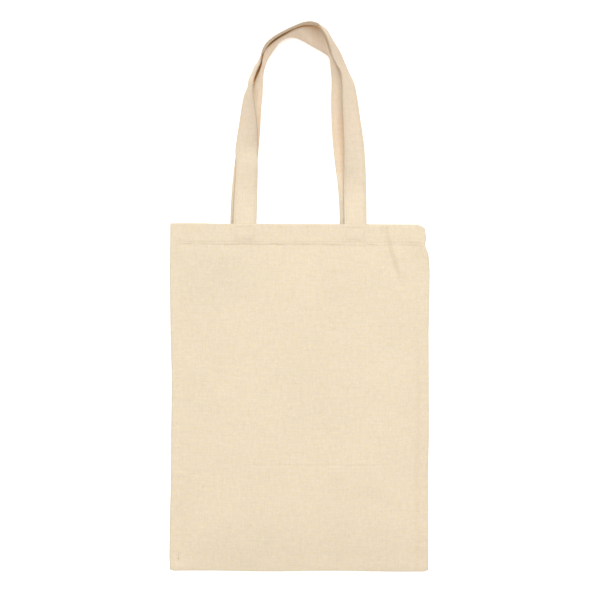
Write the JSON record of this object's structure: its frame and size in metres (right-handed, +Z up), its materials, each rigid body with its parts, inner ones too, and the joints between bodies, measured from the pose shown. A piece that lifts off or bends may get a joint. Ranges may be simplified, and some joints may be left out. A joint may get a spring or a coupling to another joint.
{
  "type": "canvas tote bag",
  "caption": "Flat natural-cotton tote bag with a turned hem, sewn side seams and long web handles that fold down at the mouth; laid flat on its back.",
  "frame": {"origin": "middle of the underside of the bounding box, on the table the bag lies on", "axes": "+X across the bag from the left seam to the right seam, +Y from the bottom fold to the handles, +Z up through the front panel"},
  "size_m": [0.26, 0.5554, 0.0238],
  "materials": {
    "canvas": "unbleached plain-weave cotton",
    "strap_canvas": "folded plain-weave cotton",
    "cotton_thread": "spun sewing thread"
  },
  "bodies": {
    "bag": {"front_panel": "canvas", "back_panel": "canvas", "left_seam_allowance": "canvas", "right_seam_allowance": "canvas", "left_seam_thread": "cotton_thread", "right_seam_thread": "cotton_thread", "left_overlock_thread": "cotton_thread", "right_overlock_thread": "cotton_thread", "front_hem_stitch": "cotton_thread", "back_hem_stitch": "cotton_thread", "front_handle_left_end": "strap_canvas", "front_handle_right_end": "strap_canvas", "back_handle_left_end": "strap_canvas", "back_handle_right_end": "strap_canvas", "front_handle_left_box_stitch": "cotton_thread", "front_handle_right_box_stitch": "cotton_thread", "back_handle_left_box_stitch": "cotton_thread", "back_handle_right_box_stitch": "cotton_thread"},
    "front_handle": {"front_handle_loop": "strap_canvas", "front_handle_resting_edge_stitch": "cotton_thread", "front_handle_raised_edge_stitch": "cotton_thread"},
    "back_handle": {"back_handle_loop": "strap_canvas", "back_handle_resting_edge_stitch": "cotton_thread", "back_handle_raised_edge_stitch": "cotton_thread"}
  },
  "joints": [
    {"name": "front_handle_fold", "type": "hinge", "parent": "bag", "child": "front_handle", "pos_m": [0, 0.07233, 0.0093], "axis": [1, 0, 0], "range_deg": [0, 170]},
    {"name": "back_handle_fold", "type": "hinge", "parent": "bag", "child": "back_handle", "pos_m": [0, 0.07233, 0.0009], "axis": [1, 0, 0], "range_deg": [-170, 0]}
  ]
}
